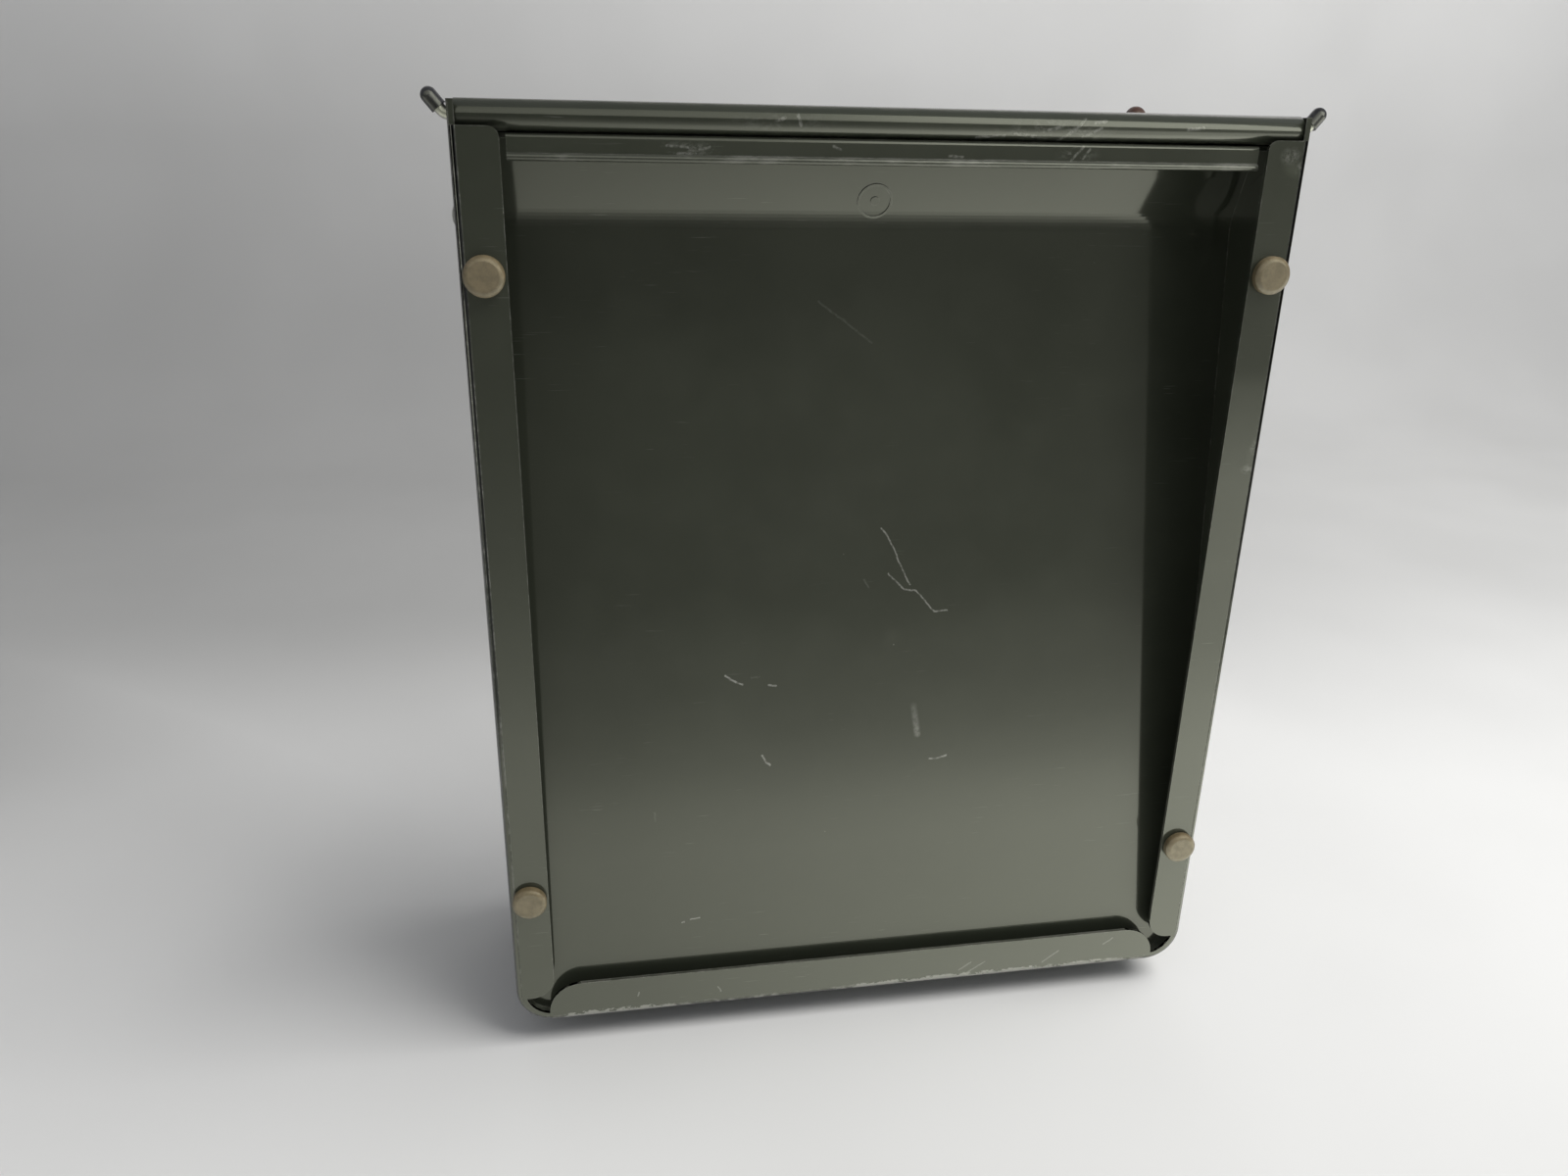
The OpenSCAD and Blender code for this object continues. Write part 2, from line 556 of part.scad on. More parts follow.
module lock_nut() {
  y1 = door_y + door_t - t;
  color([0.6, 0.6, 0.58]) at() translate([lock_x, 0, lock_z]) difference() {
    translate([0, y1 - 0.02, 0]) rotate([90, 0, 0]) cylinder(r = 13, h = 3, $fn = 6);
    cyl_y(9.52, case_d - 20, y1 + 5);
  }
}
module lock_plug() {
  y1 = door_y + door_t;
  color([0.75, 0.73, 0.68]) at() translate([lock_x, 0, lock_z]) difference() {
    union() {
      cyl_y(6, case_d - 3.5, y1 + 2.3);
      slab(-3.4, 3.4, case_d - 5.2, case_d - 3.4, -3.4, 3.4);
    }
    // key slot
    slab(-0.7, 0.7, y1 - 4, y1 + 4, -3.6, 3.6);
    cyl_y(1.5, case_d - 8, case_d + 1);
  }
}
module lock_cam() {
  y0 = case_d - 5.2;
  color([0.62, 0.62, 0.58]) at() translate([lock_x, 0, lock_z]) difference() {
    union() {
      cyl_y(8, y0, y0 + 1.6);
      slab(-7, 7, y0, y0 + 1.6, 0, 20);
      translate([0, 0, 20]) cyl_y(7, y0, y0 + 1.6);
    }
    slab(-3.45, 3.45, y0 - 1, y0 + 3, -3.45, 3.45);
  }
}
module cam_screw() {
  y0 = case_d - 5.2;
  color([0.6, 0.6, 0.58]) at() translate([lock_x, 0, lock_z]) difference() {
    union() {
      cyl_y(1.48, y0 - 0.1, y0 + 5);
      translate([0, y0 - 0.02, 0]) rotate([90, 0, 0]) rotate_extrude() polygon([[0, 0], [5, 0], [5, 1.2], [4, 2.2], [0, 2.2]]);
    }
    slab(-4, 4, y0 - 3, y0 - 1.4, -0.5, 0.5);
  }
}

case_wrap();
back_pan();
top_rail();
front_panel();
hinge_rod();
rod_caps();
wall_bumpers();
doubler_discs();
disc_rivets();
rail_rivets();
side_rivets();
base_feet();
foot_screws();
floor_mat();
lid_buffers();
hinge_case_leaf();
hinge_pin();
case_leaf_rivets();
label_frame();
label_card();
label_rivets();
lid_panel();
lid_stiffener();
rod_bushes();
lid_pull();
pull_rivets();
lid_bumper();
door_panel();
door_stiffener();
hinge_door_leaf();
door_leaf_rivets();
lock_housing();
lock_nut();
lock_plug();
lock_cam();
cam_screw();
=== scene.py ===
import math

import bpy
from mathutils import Matrix, Vector

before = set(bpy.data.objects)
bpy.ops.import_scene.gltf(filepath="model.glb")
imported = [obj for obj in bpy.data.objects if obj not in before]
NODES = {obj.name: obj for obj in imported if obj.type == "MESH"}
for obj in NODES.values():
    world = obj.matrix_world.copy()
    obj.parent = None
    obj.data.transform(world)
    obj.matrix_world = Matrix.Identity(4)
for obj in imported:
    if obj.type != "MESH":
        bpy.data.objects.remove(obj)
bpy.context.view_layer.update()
Y0 = -47.9          # the rear flange plane, in mm; depths below are measured from it
MM = 0.001


# ---------------------------------------------------------------- camera
cam_data = bpy.data.cameras.new("camera")
cam_data.sensor_fit = "HORIZONTAL"
cam_data.sensor_width = 36.0
cam_data.lens = 26.875
cam_data.clip_start = 0.01
cam_data.clip_end = 60.0
cam = bpy.data.objects.new("camera", cam_data)
bpy.context.scene.collection.objects.link(cam)
right = Vector((0.98583435, -0.16687581, 0.01682564))
up = Vector((0.04426236, 0.35561476, 0.93358395))
back = Vector((-0.16177602, -0.91961438, 0.35796356))
rot = Matrix((right, up, back)).transposed()
cam.rotation_mode = "QUATERNION"
cam.rotation_quaternion = rot.to_quaternion()
cam.location = (-0.092717, -0.39079, 0.304795)
bpy.context.scene.camera = cam
bpy.context.scene.view_settings.view_transform = "Standard"


# ---------------------------------------------------------------- node helper
class Tree:
    """Builds one material's nodes. Positions are object coordinates in mm."""

    def __init__(self, name):
        self.mat = bpy.data.materials.new(name)
        self.mat.use_nodes = True
        self.t = self.mat.node_tree
        self.t.nodes.clear()
        self.out = self.t.nodes.new("ShaderNodeOutputMaterial")
        coord = self.n("ShaderNodeTexCoord")
        self.p = self.vec("SCALE", coord.outputs["Object"], s=1000.0)
        self.xyz = self.n("ShaderNodeSeparateXYZ", {0: self.p}).outputs
        geo = self.n("ShaderNodeNewGeometry")
        self.normal = geo.outputs["Normal"]
        self.nxyz = self.n("ShaderNodeSeparateXYZ", {0: self.normal}).outputs

    def n(self, kind, ins=None, **props):
        node = self.t.nodes.new(kind)
        for k, v in props.items():
            setattr(node, k, v)
        for k, v in (ins or {}).items():
            s = node.inputs[k]
            if isinstance(v, bpy.types.NodeSocket):
                self.t.links.new(v, s)
            else:
                s.default_value = v
        return node

    def m(self, op, a, b=0.0, c=0.0, clamp=False):
        return self.n("ShaderNodeMath", {0: a, 1: b, 2: c}, operation=op, use_clamp=clamp).outputs[0]

    def vec(self, op, a, b=(0, 0, 0), s=1.0):
        ins = {0: a}
        if op == "SCALE":
            ins[3] = s
        else:
            ins[1] = b
        node = self.n("ShaderNodeVectorMath", ins, operation=op)
        return node.outputs["Value"] if op in ("DOT_PRODUCT", "LENGTH", "DISTANCE") else node.outputs["Vector"]

    def ramp(self, v, a, b, lo=0.0, hi=1.0, smooth=True):
        """lo at v = a, hi at v = b."""
        return self.n(
            "ShaderNodeMapRange", {0: v, 1: a, 2: b, 3: lo, 4: hi},
            interpolation_type="SMOOTHSTEP" if smooth else "LINEAR",
        ).outputs[0]

    def curve(self, v, pts):
        """Straight pieces through the points (v, value), v rising."""
        out = pts[0][1]
        for (a, va), (b, vb) in zip(pts, pts[1:]):
            out = self.m("ADD", out, self.ramp(v, a, b, 0.0, vb - va, smooth=False))
        return out

    def noise(self, scale, detail=3.0, rough=0.5, at=None, stretch=None, turn=None, distortion=0.0, shift=None):
        """Noise with the given feature size in mm. stretch lengthens it along x, y, z after the turn."""
        p = at or self.p
        if turn is not None or stretch is not None or shift is not None:
            st = stretch or (1, 1, 1)
            p = self.n(
                "ShaderNodeMapping",
                {0: p, 1: shift or (0, 0, 0), 2: turn or (0, 0, 0), 3: (1 / st[0], 1 / st[1], 1 / st[2])},
                vector_type="POINT",
            ).outputs[0]
        return self.n(
            "ShaderNodeTexNoise",
            {"Vector": p, "Scale": 1.0 / scale, "Detail": detail, "Roughness": rough, "Distortion": distortion},
        ).outputs[0]

    def mix(self, fac, a, b, mode="MIX"):
        node = self.n("ShaderNodeMix", data_type="RGBA", blend_type=mode)
        for i, v in ((0, fac), (6, a), (7, b)):
            if isinstance(v, bpy.types.NodeSocket):
                self.t.links.new(v, node.inputs[i])
            else:
                node.inputs[i].default_value = v if i == 0 else (*v, 1.0)[:4]
        return node.outputs[2]

    def add(self, *vals):
        out = vals[0]
        for v in vals[1:]:
            out = self.m("ADD", out, v)
        return out

    def mul(self, *vals):
        out = vals[0]
        for v in vals[1:]:
            out = self.m("MULTIPLY", out, v)
        return out

    def mx(self, *vals):
        out = vals[0]
        for v in vals[1:]:
            out = self.m("MAXIMUM", out, v)
        return out

    def mn(self, *vals):
        out = vals[0]
        for v in vals[1:]:
            out = self.m("MINIMUM", out, v)
        return out

    def flat(self, at=None):
        """The position with its depth left out."""
        x, z = self.xyz[0], self.xyz[2]
        if at is not None:
            s = self.n("ShaderNodeSeparateXYZ", {0: at}).outputs
            x, z = s[0], s[2]
        return self.n("ShaderNodeCombineXYZ", {0: x, 1: 0.0, 2: z}).outputs[0]

    def segment(self, p, a, b):
        """Distance in mm from p to the line from a to b, both (x, z)."""
        ax, az = a
        dx, dz = b[0] - ax, b[1] - az
        l2 = max(dx * dx + dz * dz, 1e-6)
        q = self.vec("SUBTRACT", p, (ax, 0, az))
        h = self.m("MULTIPLY", self.vec("DOT_PRODUCT", q, (dx, 0, dz)), 1 / l2, clamp=True)
        line = self.n("ShaderNodeCombineXYZ", {0: self.m("MULTIPLY", h, dx), 1: 0.0, 2: self.m("MULTIPLY", h, dz)})
        return self.vec("DISTANCE", q, line.outputs[0])

    def path(self, p, pts):
        return self.mn(*[self.segment(p, a, b) for a, b in zip(pts, pts[1:])])

    def spot(self, p, c, rx, rz):
        """1 at the middle of an ellipse at c = (x, z), 0 from its rim on."""
        q = self.vec("MULTIPLY", self.vec("SUBTRACT", p, (c[0], 0, c[1])), (1 / rx, 0, 1 / rz))
        return self.ramp(self.vec("LENGTH", q), 1.0, 0.0)

    def bsdf(self, ins, bump=None):
        """bump is (height, distance in mm, strength) or a list of them, added up."""
        if bump:
            last = None
            for h, dist, strength in bump if isinstance(bump, list) else [bump]:
                i = {"Height": h, "Distance": dist * MM, "Strength": strength}
                if last is not None:
                    i["Normal"] = last
                last = self.n("ShaderNodeBump", i).outputs[0]
            ins = dict(ins, Normal=last)
        b = self.n("ShaderNodeBsdfPrincipled", ins)
        self.t.links.new(b.outputs[0], self.out.inputs[0])
        return self.mat

    def edge(self, radius=0.7, lo=0.02, hi=0.25):
        """1 close to a sharp edge."""
        rounded = self.n("ShaderNodeBevel", {"Radius": radius * MM}, samples=4).outputs[0]
        return self.ramp(self.m("SUBTRACT", 1.0, self.vec("DOT_PRODUCT", rounded, self.normal)), lo, hi)


PAINT = (0.031, 0.035, 0.0245)
PRIMER = (0.30, 0.30, 0.275)
STEEL = (0.36, 0.35, 0.33)
RUST = (0.14, 0.052, 0.022)


# ---------------------------------------------------------------- paint
def paint(name, marks=None, wear=1.0, tint=PAINT):
    """Aged semi-gloss enamel on steel sheet. marks(g, p) returns (scuff, bare, rust, dull) masks or None."""
    g = Tree(name)
    p = g.flat()
    # colour: slow fading, fine mottling and a trace of dust in broad patches
    slow = g.noise(70, 2, 0.5)
    mid = g.noise(14, 4, 0.6)
    fine = g.noise(0.9, 2, 0.5)
    col = g.mix(g.ramp(slow, 0.3, 0.7), tuple(c * 0.93 for c in tint), tuple(c * 1.08 for c in tint))
    col = g.mix(g.ramp(mid, 0.35, 0.75, 0.0, 0.22), col, (tint[0] * 1.25, tint[1] * 1.22, tint[2] * 1.25))
    col = g.mix(g.ramp(fine, 0.62, 0.85, 0.0, 0.25), col, tuple(c * 0.7 for c in tint))
    # rub marks: faint long streaks in three directions
    rub = None
    for k, (turn, st) in enumerate((((0.3, 0.5, 0.2), (26, 1, 1)), ((0.1, -0.7, 0.4), (34, 1, 1)), ((0.6, 1.9, 0.1), (22, 1, 1)))):
        s = g.noise(0.42, 1, 0.4, turn=turn, stretch=st, shift=(3.0 * k, 7.0 * k, 0))
        area = g.noise(24, 2, 0.5, shift=(11.0 * k + 5, 3, 9.0 * k))
        s = g.mul(g.ramp(s, 0.70, 0.80), g.ramp(area, 0.56, 0.70))
        rub = s if rub is None else g.mx(rub, s)
    scuff, bare, rust, dull, dent = None, None, None, None, None
    if marks:
        scuff, bare, rust, dull, dent = marks(g, p)
    light = g.mul(rub, 0.16 * wear)
    if scuff is not None:
        light = g.mx(light, scuff)
    col = g.mix(light, col, (0.36, 0.36, 0.33))
    # dust lies on what faces up
    dust = g.mul(g.ramp(g.nxyz[2], 0.72, 0.98), g.ramp(g.noise(9, 4, 0.65), 0.35, 0.7, 0.05, 0.26))
    col = g.mix(dust, col, (0.30, 0.29, 0.26))
    # worn edges: a thin lighter line, chipped here and there down to the steel
    e = g.edge(0.55)
    brk = g.noise(3.2, 4, 0.7)
    brk2 = g.noise(21, 2, 0.5, shift=(40, 0, 0))
    thin = g.mul(e, g.ramp(g.add(brk, g.mul(brk2, 0.5)), 0.66, 0.92, 0.08 * wear, 0.62 * wear))
    col = g.mix(thin, col, PRIMER)
    chip = g.mul(g.ramp(e, 0.1, 0.6), g.ramp(g.noise(1.5, 3, 0.75, shift=(9, 5, 2)), 0.66, 0.70), g.ramp(brk2, 0.52, 0.60), wear)
    if bare is not None:
        chip = g.mx(chip, bare)
    col = g.mix(chip, col, STEEL)
    if rust is not None:
        col = g.mix(rust, col, RUST)
    # gloss: uneven, duller where it was handled or rubbed
    rough = g.add(g.ramp(g.noise(30, 3, 0.55, shift=(0, 20, 50)), 0.3, 0.7, 0.30, 0.38), g.ramp(mid, 0.3, 0.8, -0.02, 0.05))
    rough = g.add(rough, g.mul(light, 0.35), g.mul(dust, 0.9))
    if dull is not None:
        rough = g.add(rough, g.mul(dull, 0.25))
    metal = g.mul(chip, 0.85)
    peel = g.noise(1.7, 2, 0.5)
    wave = g.noise(46, 1, 0.4, shift=(20, 10, 0))
    height = g.add(g.mul(peel, 0.007), g.mul(fine, 0.003), g.mul(wave, 0.09))
    if dent is not None:
        height = g.add(height, g.mul(dent, 0.5))
    return g.bsdf(
        {
            "Base Color": col, "Roughness": rough, "Metallic": metal, "IOR": 1.5,
            "Specular IOR Level": 0.12, "Coat Weight": 1.0, "Coat Roughness": 0.075, "Coat IOR": 1.5,
        },
        (height, 1.0, 1.0),
    )


def jitter(g, p, size=1.6, by=0.5):
    """The position moved about a little, so that a drawn line is not straight."""
    n1 = g.noise(size, 2, 0.6)
    n2 = g.noise(size, 2, 0.6, shift=(31, 17, 5))
    off = g.n("ShaderNodeCombineXYZ", {0: g.mul(g.m("SUBTRACT", n1, 0.5), by), 1: 0.0, 2: g.mul(g.m("SUBTRACT", n2, 0.5), by)})
    return g.vec("ADD", p, off.outputs[0])


def panel_marks(g, p):
    """Scratches on the recessed panel: two that meet in the middle, short nicks and a soft smear."""
    q = jitter(g, p, 2.2, 0.9)
    broken = g.ramp(g.noise(1.4, 3, 0.7, shift=(2, 8, 1)), 0.32, 0.6, 0.25, 1.0)
    on_face = g.ramp(g.nxyz[1], -0.75, -0.95)
    d1 = g.path(q, [(4.9, 182.3), (6.9, 179.8), (9.5, 175.0), (11.9, 168.9), (15.4, 162.2)])
    d2 = g.path(q, [(7.6, 166.5), (13.3, 160.7), (17.7, 159.9), (24.4, 152.2), (26.7, 152.3), (29.0, 152.5)])
    d3 = g.mn(
        g.path(q, [(-49.1, 133.1), (-46.6, 131.2), (-43.1, 129.6)]),
        g.path(q, [(-33.9, 128.9), (-31.6, 128.4)]),
        g.path(q, [(24.3, 97.6), (27.6, 97.6), (30.5, 98.5)]),
        g.path(q, [(-36.6, 103.1), (-35.1, 100.5), (-33.7, 99.4)]),
        g.path(q, [(-66.1, 41.3), (-65.4, 41.4)]),
        g.path(q, [(-62.9, 42.3), (-59.9, 42.6)]),
    )
    d4 = g.mn(
        g.path(q, [(-17.3, 256.4), (-8.6, 250.3), (0.6, 243.4)]),
        g.path(q, [(-40.1, 131.9), (-37.3, 131.9)]),
        g.path(q, [(-0.8, 164.7), (0.8, 161.7)]),
        g.path(q, [(-74.6, 84.4), (-74.4, 81.4)]),
    )
    s = g.mul(g.ramp(d1, 0.38, 0.10), broken, 0.60)
    s = g.mx(s, g.mul(g.ramp(d2, 0.38, 0.10), broken, 0.65))
    s = g.mx(s, g.mul(g.ramp(d3, 0.46, 0.14), broken, 0.8))
    s = g.mx(s, g.mul(g.ramp(d4, 0.5, 0.1), broken, 0.11))
    smear = g.mul(g.ramp(g.path(p, [(17.8, 118.1), (18.8, 112), (19.5, 107.3)]), 1.6, 0.2), g.ramp(g.xyz[2], 121, 106, 0.15, 0.5), g.ramp(g.noise(1.1, 3, 0.7), 0.3, 0.65, 0.4, 1.0))
    specks = g.mul(
        g.ramp(g.n("ShaderNodeTexVoronoi", {"Vector": g.p, "Scale": 1 / 17.0}, feature="F1").outputs["Distance"], 0.018, 0.010),
        g.ramp(g.noise(30, 1, 0.5, shift=(3, 3, 3)), 0.45, 0.55), 0.45,
    )
    scuff = g.mul(g.mx(s, smear, specks), on_face)
    cloudy = g.mx(
        g.spot(p, (2.3, 60.0), 6, 14), g.spot(p, (-62, 136), 9, 7), g.spot(p, (10, 143), 5, 6), g.spot(p, (-58, 115), 30, 16),
    )
    dull = g.mul(cloudy, g.ramp(g.noise(4, 3, 0.6), 0.3, 0.7), on_face)
    return scuff, None, None, dull, None


def strokes(g, q, lines, width, strength):
    return g.mul(g.ramp(g.mn(*[g.path(q, l) for l in lines]), width, width * 0.25), strength)


def wrap_marks(g, p):
    """Rubbed lower edge, a rusty nick on the right flange and a knock at its top."""
    x, z = g.xyz[0], g.xyz[2]
    rear = g.ramp(g.xyz[1], Y0 + 3.0, Y0 + 1.6)
    n1 = g.noise(2.0, 4, 0.75, stretch=(1.7, 1, 1), shift=(5, 1, 3))
    # chips along the bottom flange's lower edge, more of them right of the middle
    where = g.mx(g.mul(g.ramp(x, -112, -104), g.ramp(x, -66, -76)), g.mul(g.ramp(x, -8, 4, 0, 1), g.ramp(x, 106, 98)), 0.24)
    low = g.mul(g.ramp(z, 13.6, 10.6), rear, g.ramp(g.noise(17, 2, 0.5, shift=(0, 0, 70)), 0.36, 0.55, 0.35, 1.0), where)
    chips = g.ramp(g.m("SUBTRACT", n1, g.mul(low, 0.26)), 0.435, 0.405)
    chips = g.mul(chips, g.ramp(low, 0.05, 0.3))
    q = jitter(g, p, 2.0, 0.8)
    scr = strokes(
        g, q,
        [[(37, 14.2), (41.5, 17.2)], [(40, 12.4), (47, 16.8)], [(70, 14.0), (76, 18.4)], [(-54, 17.5), (-53, 15.5)], [(94, 19.5), (97.5, 22.0)], [(-83, 17.0), (-82.4, 18.4)]],
        0.4, 0.42,
    )
    scr = g.mul(scr, rear)
    # knock on the right flange, with a trace of rust at the edge
    knock = g.mx(g.spot(q, (123.6, 213.4), 2.6, 3.6), g.spot(q, (121.8, 206.0), 3.0, 2.2))
    knock = g.mul(knock, rear, g.ramp(g.noise(1.2, 3, 0.7, shift=(6, 6, 1)), 0.36, 0.6))
    rust = g.mul(g.ramp(g.mx(g.spot(q, (125.3, 213.0), 2.2, 5.6), g.spot(q, (125.3, 205.5), 1.6, 3.0)), 0.1, 0.7), g.ramp(g.noise(0.9, 3, 0.7), 0.35, 0.6), g.ramp(g.xyz[1], Y0 + 5.0, Y0 + 2.0), 0.8)
    top = g.mul(g.mx(g.spot(q, (119.4, 302.6), 4.5, 3.2), g.spot(q, (123.4, 299.0), 2.4, 3.0)), rear, g.ramp(g.noise(1.6, 3, 0.7, shift=(1, 6, 8)), 0.34, 0.62))
    scuff = g.mx(scr, g.mul(knock, 0.34), g.mul(top, 0.28), g.mul(chips, 0.75))
    bare = g.mul(chips, g.ramp(n1, 0.36, 0.30), 0.8)
    dent = g.m("SUBTRACT", 1.0, g.add(g.mul(g.spot(p, (121.5, 301.5), 5.5, 5.5), 0.9), g.mul(g.spot(p, (123.5, 210.0), 3.2, 8.0), 0.6)))
    return scuff, bare, rust, None, dent


def barrel_marks(g, p):
    """Scuffs on the rolled hinge barrel."""
    q = jitter(g, p, 1.8, 0.9)
    rear = g.ramp(g.xyz[1], Y0 + 9, Y0 + 6)
    a = strokes(
        g, q,
        [[(22, 306.3), (30, 306.9)], [(33, 307.4), (41, 306.6)], [(43, 308.6), (47, 309.4)], [(47, 305.9), (52, 309.6)],
         [(50, 307.6), (54, 311.6)], [(54, 306.9), (59, 309.2)], [(57, 310.6), (60.5, 311.3)], [(-30.5, 311.2), (-29.5, 308.4)],
         [(-36, 309.6), (-34.2, 310.4)], [(86, 309.4), (91, 309.8)]],
        0.6, 0.42,
    )
    haze = g.mul(g.mx(g.spot(p, (46, 308.2), 24, 4.5), g.mul(g.spot(p, (-35, 309), 20, 4), 0.5)), g.ramp(g.noise(2.6, 4, 0.75, stretch=(1.8, 1, 1)), 0.46, 0.68), 0.30)
    scuff = g.mul(g.mx(g.mul(a, g.ramp(g.noise(1.2, 3, 0.7), 0.35, 0.6, 0.2, 1)), haze), rear)
    # handling marks on the top
    top = g.mul(g.ramp(g.nxyz[2], 0.8, 0.95), g.ramp(g.noise(7, 4, 0.7, stretch=(2, 1, 1)), 0.58, 0.72), 0.14)
    return g.mx(scuff, top), None, None, None, None


def rail_marks(g, p):
    """Scuffs on the rail below the barrel."""
    q = jitter(g, p, 1.8, 0.9)
    a = strokes(
        g, q,
        [[(-67, 302.6), (-61, 302.2)], [(-58, 301.7), (-55, 302.4)], [(-64, 300.6), (-59, 300.5)], [(51, 300.4), (54.6, 304.3)],
         [(54.6, 300.8), (56.6, 303.6)], [(-20, 303.0), (-18, 302.4)], [(14, 301.0), (18, 300.8)]],
        0.55, 0.34,
    )
    haze = g.mul(g.mx(g.spot(p, (-61, 301.6), 13, 3.0), g.spot(p, (53, 302), 8, 3.2)), g.ramp(g.noise(2.2, 4, 0.75, stretch=(1.8, 1, 1)), 0.48, 0.68), 0.25)
    bead = g.mul(g.ramp(g.xyz[2], 300.6, 300.0), g.ramp(g.noise(6, 4, 0.7, stretch=(3, 1, 1)), 0.5, 0.7, 0.05, 0.3))
    return g.mx(g.mul(a, g.ramp(g.noise(1.2, 3, 0.7), 0.35, 0.6, 0.2, 1)), haze, bead), None, None, None, None


def front_marks(g, p):
    """Light use on the door side: thin lines about the lock and the opening edges."""
    face = g.ramp(g.nxyz[1], 0.75, 0.95)
    q = jitter(g, p, 2.4, 1.2)
    a = strokes(
        g, q,
        [[(-84, 138), (-70, 133.5)], [(-92, 158), (-87, 146)], [(-66, 161), (-60, 168)], [(-72, 140), (-66, 129)], [(12, 92), (31, 84)],
         [(48, 205), (57, 199)], [(-30, 57), (-22, 53)], [(70, 120), (75, 110)]],
        0.4, 0.4,
    )
    ring = g.mul(g.ramp(g.m("ABSOLUTE", g.m("SUBTRACT", g.vec("LENGTH", g.vec("SUBTRACT", p, (-76, 0, 150))), 17)), 4.5, 0.5), g.ramp(g.noise(1.6, 4, 0.75), 0.5, 0.66), 0.25)
    dull = g.mul(g.spot(p, (-76, 140), 26, 34), g.ramp(g.noise(6, 3, 0.6), 0.3, 0.7))
    return g.mul(g.mx(a, ring), face), None, None, dull, None


# ---------------------------------------------------------------- other finishes
def zinc(name, base=(0.42, 0.42, 0.40), rough=(0.34, 0.5)):
    """Dull plated steel with spangle and a little white bloom."""
    g = Tree(name)
    cell = g.n("ShaderNodeTexVoronoi", {"Vector": g.p, "Scale": 1 / 1.3}, feature="F1").outputs["Color"]
    cv = g.n("ShaderNodeSeparateColor", {0: cell}).outputs[0]
    bloom = g.ramp(g.noise(2.4, 5, 0.7), 0.5, 0.75)
    col = g.mix(g.ramp(cv, 0, 1, 0.0, 0.35, False), base, tuple(c * 0.72 for c in base))
    col = g.mix(g.mul(bloom, 0.45), col, (0.55, 0.55, 0.52))
    dirt = g.ramp(g.noise(1.1, 4, 0.7, shift=(5, 5, 5)), 0.58, 0.75)
    col = g.mix(g.mul(dirt, 0.5), col, (0.10, 0.09, 0.075))
    r = g.add(g.ramp(cv, 0, 1, rough[0], rough[1], False), g.mul(bloom, 0.2), g.mul(dirt, 0.15))
    met = g.m("SUBTRACT", 1.0, g.add(g.mul(bloom, 0.4), g.mul(dirt, 0.5)), clamp=True)
    return g.bsdf({"Base Color": col, "Roughness": r, "Metallic": met}, [(g.noise(0.5, 3, 0.6), 0.02, 0.5), (cv, 0.01, 0.3)])


def plated(name, base, swirl_at=None, rough=0.22):
    """Worn plated or brass metal with fine polishing lines."""
    g = Tree(name)
    if swirl_at:
        q = g.vec("SUBTRACT", g.p, (swirl_at[0], 0, swirl_at[1]))
        s = g.n("ShaderNodeSeparateXYZ", {0: q}).outputs
        rad = g.m("SQRT", g.add(g.mul(s[0], s[0]), g.mul(s[2], s[2])))
        v = g.n("ShaderNodeCombineXYZ", {0: g.mul(rad, 9.0), 1: g.mul(s[1], 2.0), 2: 0.0}).outputs[0]
        lines = g.n("ShaderNodeTexNoise", {"Vector": v, "Scale": 1.0, "Detail": 3.0, "Roughness": 0.6}).outputs[0]
    else:
        lines = g.noise(0.25, 3, 0.6, stretch=(30, 1, 1))
    tarnish = g.ramp(g.noise(3.0, 5, 0.7), 0.45, 0.72)
    nick = g.ramp(g.noise(0.6, 3, 0.7, stretch=(5, 1, 1), turn=(0.2, 0.6, 0.1)), 0.66, 0.72)
    col = g.mix(g.mul(tarnish, 0.5), base, tuple(c * 0.45 for c in base))
    col = g.mix(g.mul(nick, 0.5), col, tuple(min(1.0, c * 1.5) for c in base))
    r = g.add(g.ramp(lines, 0.3, 0.7, rough, rough + 0.1), g.mul(tarnish, 0.22))
    return g.bsdf({"Base Color": col, "Roughness": r, "Metallic": 1.0}, [(lines, 0.01, 0.35), (nick, 0.02, 0.4)])


def rubber(name, base, dark, shine=0.45, grime=None, coat=0.0, size=2.2):
    """Moulded rubber or vinyl: mottled, with fine pores and grime."""
    g = Tree(name)
    mott = g.noise(size, 5, 0.65)
    fine = g.noise(0.35, 3, 0.6)
    col = g.mix(g.ramp(mott, 0.35, 0.7), base, dark)
    if grime:
        spots = g.mul(g.ramp(g.noise(0.8, 4, 0.75, shift=(7, 3, 1)), 0.56, 0.68), g.ramp(g.noise(4, 2, 0.5, shift=(1, 9, 4)), 0.42, 0.6))
        col = g.mix(g.mul(spots, 0.65), col, grime)
    rim = g.edge(0.5, 0.02, 0.3)
    col = g.mix(g.mul(rim, g.ramp(mott, 0.3, 0.7, 0.1, 0.35)), col, tuple(min(1, c * 1.7 + 0.01) for c in base))
    r = g.add(g.ramp(mott, 0.3, 0.75, shine, shine + 0.14), g.ramp(fine, 0.4, 0.8, 0.0, 0.08))
    return g.bsdf(
        {"Base Color": col, "Roughness": r, "Coat Weight": coat, "Coat Roughness": 0.12},
        [(fine, 0.02, 0.35), (mott, 0.10, 0.3)],
    )


